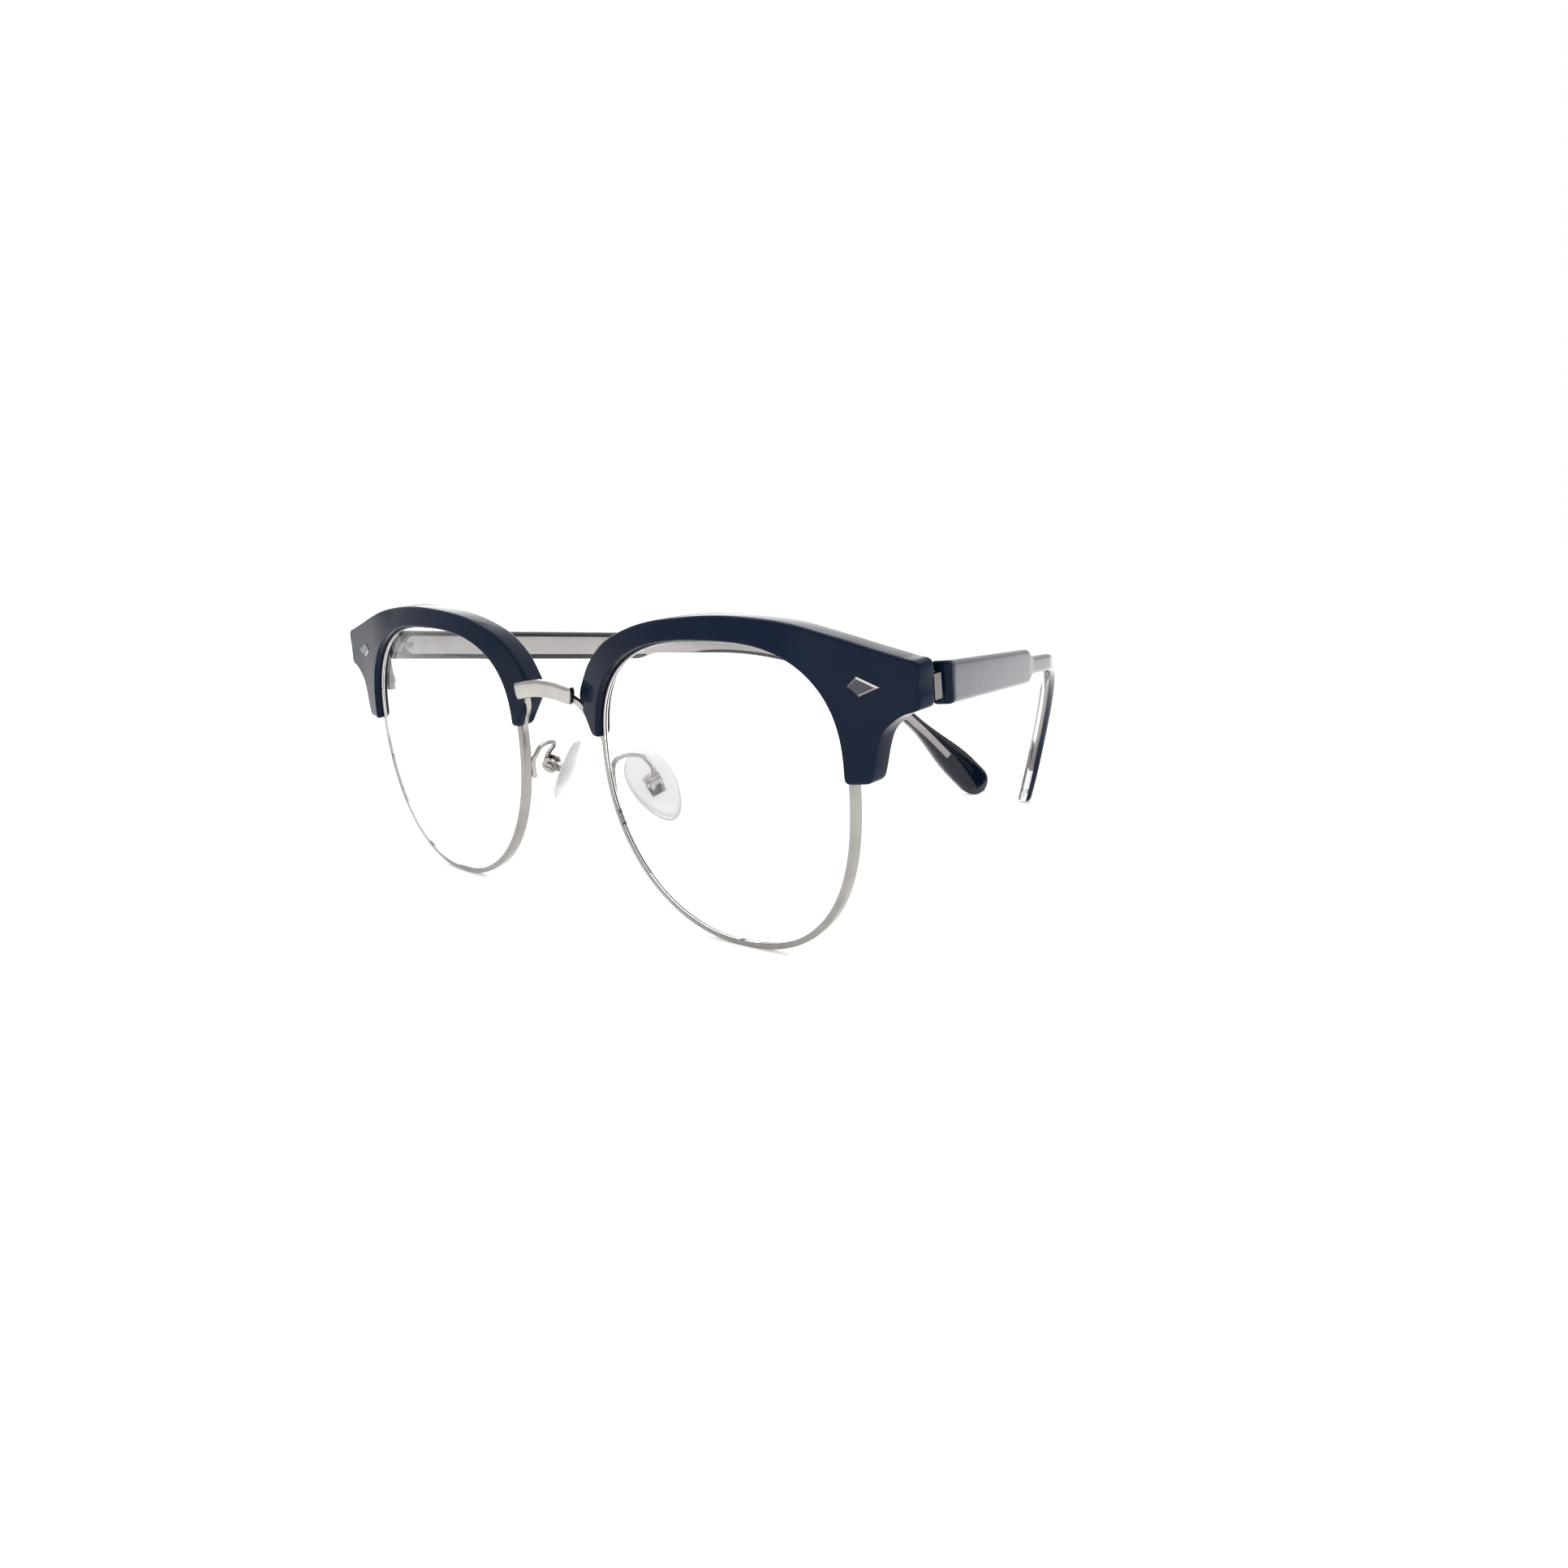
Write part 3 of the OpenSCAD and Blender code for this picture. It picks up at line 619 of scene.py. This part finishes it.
def on_temple(length, x, h):
    """Point of the temple at a length, outboard x and height h above the centre line."""
    back, up, slope = centre_line(length)
    inward = 0 if length <= BEND_L else TIP_IN * ((length - BEND_L) / (TEMPLE_L - BEND_L)) ** TIP_CURVE
    p = np.array((x - inward, END_Y + back + h * math.sin(slope), up + h * math.cos(slope)))
    return turn_x(-DIP) @ p


def edge_half(length):
    """Half the temple's height at a length, and where its middle is."""
    swell = PADDLE * ease((length - (TEMPLE_L - PADDLE_L)) / PADDLE_OVER)
    shank = 1 - ease((length - STEP_AT) / STEP_W)
    half = NECK_H / 2 + (SHANK_H - NECK_H) / 2 * shank + swell / 2
    past = (length - TEMPLE_L + ROUND_L) / ROUND_L
    close = 1 if past < 0 else math.sqrt(max(0.0004, 1 - past ** 2))
    return half * close, 0.05 * swell


def layer_ring(length, inner, shrink=0.0):
    """Section of one acetate layer; its laminated face is flat, its outer edges are rounded."""
    half, middle = edge_half(length)
    half -= shrink
    r = min(EDGE_R, half * 0.8)
    past = max(0.0, (length - TEMPLE_L + ROUND_L) / ROUND_L)
    thin = 1 - 0.45 * past ** 3
    out = -1 if inner else 1
    flat = LAYER_X + LAYER_LAP if inner else LAYER_X
    face = LAYER_X + ((INNER_X if inner else OUTER_X) - LAYER_X) * thin - out * shrink
    round_x = face - out * r
    section = [(flat, -half)]
    section += [(round_x + out * r * math.cos(a), -half + r - r * math.sin(a))
                for a in np.radians((90, 72, 54, 36, 18, 0))]
    section += [(round_x + out * r * math.cos(a), half - r + r * math.sin(a))
                for a in np.radians((0, 18, 36, 54, 72, 90))]
    section += [(flat, half)]
    return [on_temple(length, x, h + middle) for x, h in section]


def squared_end(ring, y):
    """Moves a ring along the temple until it lies in a plane parallel to the hinge axis."""
    along = turn_x(-DIP) @ np.array((0, 1, 0))
    return [p + along * (y - p[1]) / along[1] for p in ring]


def temple_stations():
    """Lengths at which a layer has a section: close at the step, along the bend and round the tip."""
    main = list(np.linspace(2, STEP_AT - 1, 24)) + list(np.linspace(STEP_AT, STEP_AT + STEP_W, 12))
    main += list(np.linspace(STEP_AT + STEP_W + 1, TEMPLE_L - ROUND_L, 90))
    tip = [TEMPLE_L - ROUND_L * (1 - math.sin(a)) for a in np.radians(np.linspace(6, 89, 12))]
    return main + tip


def temple_layer(name, node, side_name, side, inner, material):
    """One acetate layer, rounded over at the hinge's end; the inner one is notched for the barrels."""
    start = [(0.0, 0.3), (0.04, 0.18), (0.12, 0.07), (0.3, 0.0)]
    rings = [squared_end(layer_ring(0, inner, shrink), END_Y + step) for step, shrink in start]
    rings += [layer_ring(length, inner) for length in temple_stations()]
    obj = skin(f"{side_name}_{name}", [folded(r, side) for r in rings], sharp=45)
    if inner:
        cut_notch(obj, side)
    finish_piece(obj, f"{side_name}_temple", f"{side_name}_{node}", material)
    # The inner layer's hinge end gets painted shade in navy.
    if inner:
        paint_end_shade(obj, side)
    return obj


def paint_end_shade(obj, side):
    """Painted shade: the end face and the walls of the notch, which sit against the hinge parts, get the
    dark navy acetate.
    """
    obj.data.materials.append(NAVY)
    behind = folded([(0, BARREL_R + BARREL_GAP + 0.05, 0)], side)[0]
    along = folded([(0, 1, 0)], side)[0] - folded([(0, 0, 0)], side)[0]
    along = Vector(along / np.linalg.norm(along))
    for polygon in obj.data.polygons:
        if (polygon.center - Vector(behind)).dot(along) < 0 and abs(polygon.normal.dot(along)) > 0.05:
            polygon.material_index = 1


def cut_notch(obj, side):
    """Cuts the round notch that the hinge barrels turn in."""
    ring = arc((0, 0), BARREL_R + BARREL_GAP, 0, 360, 65)[:-1]
    cutter = skin("notch_cutter", [folded([(x, y, z) for x, y in ring], side) for z in (-NOTCH_H, NOTCH_H)])
    notch = obj.modifiers.new("notch", "BOOLEAN")
    notch.operation = "DIFFERENCE"
    notch.solver = "EXACT"
    notch.object = cutter
    graph = bpy.context.evaluated_depsgraph_get()
    cut = bpy.data.meshes.new_from_object(obj.evaluated_get(graph))
    obj.modifiers.clear()
    obj.data = cut
    bpy.data.objects.remove(cutter)


def temple_core(side_name, side):
    """The flat core wire, wide in the shank and narrow behind the step."""
    end = TEMPLE_L - TIP_FREE
    x0 = LAYER_X - CORE_T
    rings = []
    stations = list(CORE_START + CORE_ROUND * np.linspace(0, 1, 9))
    stations += list(np.linspace(CORE_START + 2.2, end, 110))
    for length in stations:
        half = CORE_HALF - CORE_NARROW * ease((length - STEP_AT) / CORE_OVER)
        if length < CORE_START + CORE_ROUND:
            half *= math.sqrt(1 - 0.9 * ((CORE_START + CORE_ROUND - length) / CORE_ROUND) ** 2)
        section = [(LAYER_X, -half), (x0 + CORE_BEVEL, -half), (x0, -half + CORE_BEVEL)]
        section += [(x0, half * f) for f in np.linspace(-0.8, 0.8, 9)]
        section += [(x0, half - CORE_BEVEL), (x0 + CORE_BEVEL, half), (LAYER_X, half)]
        rings.append([on_temple(length, x, h) for x, h in section])
    obj = skin(f"{side_name}_core_wire", [folded(r, side) for r in rings], sharp=30)
    return finish_piece(obj, f"{side_name}_temple", f"{side_name}_temple_core", CORE)


# ---------------------------------------------------------------- bridge
BAR_H = 2.8
BAR_T = 1.4
LEG_W = 1.15
LEG_T = 0.8
BAR_HALF = [(0, -0.9, 14), (3.5, -0.85, 13.75), (5.5, -0.75, 13.4), (6.75, -0.66, 13.18)]
BAR_POWER = 3.4
LEG_POWER = 4.0
LEG = [(6.3, -0.5, 13.1), (6.5, 0.4, 12.2), (7.2, 1, 11), (8, 1.35, 9.75), (9.1, 1.65, 8.6), (9.9, 1.8, 7.4),
       (10.4, 1.85, 6)]


def bridge():
    """A rounded flat bar in front of the brows, on two strips soldered to the eyewires."""
    left = np.array(BAR_HALF)
    right = left[:0:-1] * (-1, 1, 1)
    path = catmull(np.vstack((right, left)), 8)
    bar = rod_rings(path, BAR_T / 2, BAR_H / 2, np.array((0, 0, 1.0)), sides=48, power=BAR_POWER)
    obj = skin("bridge_bar", [standing(r) for r in domed(bar, depth=0.3)], sharp=50)
    finish_piece(obj, "front", "bridge", SILVER)
    for side_name, side in (("left", 1), ("right", -1)):
        leg = rod_rings(catmull(LEG, 8), LEG_W / 2, LEG_T / 2, np.array((0, 1.0, 0)), 32, LEG_POWER)
        piece = skin(f"{side_name}_bridge_leg", [standing(r, side) for r in leg], sharp=50)
        finish_piece(piece, "front", "bridge", SILVER)


# ---------------------------------------------------------------- nose pads
PAD_L = 13.0
PAD_W = 7.2
PAD_EGG = 0.16
PAD_BACK = -2.2
# Scale of the pad's outline and depth below its back, from the box round to the nose
PAD_PROFILE = [(0.05, 0), (0.4, 0.0), (0.75, 0.02), (0.88, 0.1), (0.96, 0.28), (1.0, 0.6), (0.985, 0.85),
               (0.94, 1.12), (0.86, 1.36), (0.74, 1.56), (0.58, 1.72), (0.38, 1.84), (0.18, 1.89),
               (0.04, 1.9)]
BOX_AT = np.array((13.6, 8.5, -1.6))
PAD_TURN = turn_z(math.radians(-37)) @ turn_y(math.radians(-30.3)) @ turn_x(math.radians(22.2))
ARM = [(10.85, 2.85, -2.2), (10.8, 2.9, 0.3), (10.4, 3.4, 1.4), (10.35, 4.4, 2.5), (10.7, 6.2, 2.8),
       (11.6, 8.1, 2.3), (12.5, 8.5, 1.4), (13.7, 8.4, 0.4), (14.25, 7.9, -0.85)]
ARM_R = 0.4


def at_box(points, side):
    """Points about the middle of the pad's box, with X away from the nose and Z along the pad."""
    return standing(np.asarray(points) @ PAD_TURN.T + BOX_AT, side)


def pad_arm(side_name, side):
    """Round wire that loops from the eyewire back to the pad's box."""
    path = catmull(ARM, 10)
    arm = domed(rod_rings(path, ARM_R, ARM_R, np.array((0.6, 0, 0.8))), depth=0.4)
    obj = skin(f"{side_name}_pad_arm_wire", [standing(r, side) for r in arm], sharp=60)
    finish_piece(obj, "front", f"{side_name}_pad_arm", SILVER)


def nose_pad(side_name, side):
    """Egg-shaped cushion: flat towards the box, crowned towards the nose."""
    angles = np.linspace(0, 2 * math.pi, 72, endpoint=False)
    rings = []
    for k, depth in PAD_PROFILE:
        ring = []
        for a in angles:
            y = PAD_W / 2 * math.cos(a) * (1 + PAD_EGG * math.sin(a)) * k
            z = PAD_L / 2 * math.sin(a) * k
            ring.append((PAD_BACK - depth, y, z))
        rings.append(at_box(ring, side))
    obj = skin(f"{side_name}_silicone_pad", rings, sharp=60)
    return finish_piece(obj, f"{side_name}_pad", f"{side_name}_nose_pad", SILICONE)


# ---------------------------------------------------------------- everything on both sides
for side_name, side in (("left", 1), ("right", -1)):
    eyewire(side_name, side)
    lens(side_name, side)
    brow(side_name, side)
    plaque(side_name, side)
    temple_layer("outer_layer", "temple_outer", side_name, side, False, NAVY)
    temple_layer("inner_layer", "temple_inner", side_name, side, True, CLEAR)
    temple_core(side_name, side)
    pad_arm(side_name, side)
    nose_pad(side_name, side)
bridge()

KEPT_METAL = ("closing_block", "closing_screw", "end_piece", "hinge_screw", "hinge_leaf", "pad_box",
              "pad_screw", "pad_insert")
HINGE_PARTS = ("end_piece", "hinge_screw", "hinge_leaf")
for side_name in ("left", "right"):
    for part in KEPT_METAL:
        node = frame["nodes"][f"{side_name}_{part}"]
        node.data.materials.clear()
        node.data.materials.append(STEEL if part in HINGE_PARTS else SILVER)

# ---------------------------------------------------------------- floor, lights, camera
floor_mesh = bpy.data.meshes.new("floor")
grid = bmesh.new()
bmesh.ops.create_grid(grid, x_segments=2, y_segments=2, size=6)
grid.to_mesh(floor_mesh)
grid.free()
floor = bpy.data.objects.new("floor", floor_mesh)
floor_mesh.materials.append(floor_paper())
bpy.context.scene.collection.objects.link(floor)


def softbox(name, at, towards, size, power):
    """A large soft lamp at a point, turned towards another point."""
    light = bpy.data.lights.new(name, "AREA")
    light.shape = "RECTANGLE"
    light.size, light.size_y = size
    light.energy = power
    obj = bpy.data.objects.new(name, light)
    obj.location = at
    obj.rotation_mode = "QUATERNION"
    obj.rotation_quaternion = (Vector(towards) - Vector(at)).to_track_quat("-Z", "Y")
    bpy.context.scene.collection.objects.link(obj)


softbox("overhead", (0.0, 0.1, 0.9), (0, 0, 0), (1.4, 1.4), 8)
softbox("back_left", (-0.9, 0.7, 0.6), (0, 0, 0.03), (0.9, 0.7), 4)


def studio_world():
    """White all round, a little dimmer in front."""
    world = bpy.data.worlds.new("studio")
    world.use_nodes = True
    nodes, links = world.node_tree.nodes, world.node_tree.links
    coords = nodes.new("ShaderNodeTexCoord")
    axes = nodes.new("ShaderNodeSeparateXYZ")
    ramp = nodes.new("ShaderNodeValToRGB")
    ramp.color_ramp.elements[0].position = 0.03
    ramp.color_ramp.elements[0].color = (0.80, 0.80, 0.81, 1)
    ramp.color_ramp.elements[1].position = 0.5
    ramp.color_ramp.elements[1].color = (1.0, 1.0, 1.0, 1)
    span = nodes.new("ShaderNodeMapRange")
    span.inputs["From Min"].default_value = -1
    links.new(coords.outputs["Generated"], axes.inputs["Vector"])
    links.new(axes.outputs["Y"], span.inputs["Value"])
    links.new(span.outputs["Result"], ramp.inputs["Fac"])
    links.new(ramp.outputs["Color"], nodes["Background"].inputs["Color"])
    nodes["Background"].inputs["Strength"].default_value = 1.0
    return world


bpy.context.scene.world = studio_world()
bpy.context.scene.view_settings.view_transform = "Standard"

# The camera, worked out in the front's own frame
CAMERA_AT = (170.28, -121.67, 47.90)
YAW = math.radians(44.71)
PITCH = math.radians(14.43)
ROLL = math.radians(-5.47)
FOCAL_LENGTH = 30.585
forward = np.array((-math.sin(YAW) * math.cos(PITCH), math.cos(YAW) * math.cos(PITCH), -math.sin(PITCH)))
level = np.array((math.cos(YAW), math.sin(YAW), 0))
upright = np.cross(level, forward)
across = math.cos(ROLL) * level + math.sin(ROLL) * upright
up = -math.sin(ROLL) * level + math.cos(ROLL) * upright
axes = np.array((STAND @ across, STAND @ up, -(STAND @ forward))).T
camera_data = bpy.data.cameras.new("camera")
camera_data.sensor_width = 36
camera_data.lens = FOCAL_LENGTH
camera_data.clip_start = 0.005
camera = bpy.data.objects.new("camera", camera_data)
camera.matrix_world = Matrix.Translation(standing(CAMERA_AT)) @ Matrix(axes.tolist()).to_4x4()
bpy.context.scene.collection.objects.link(camera)
bpy.context.scene.camera = camera
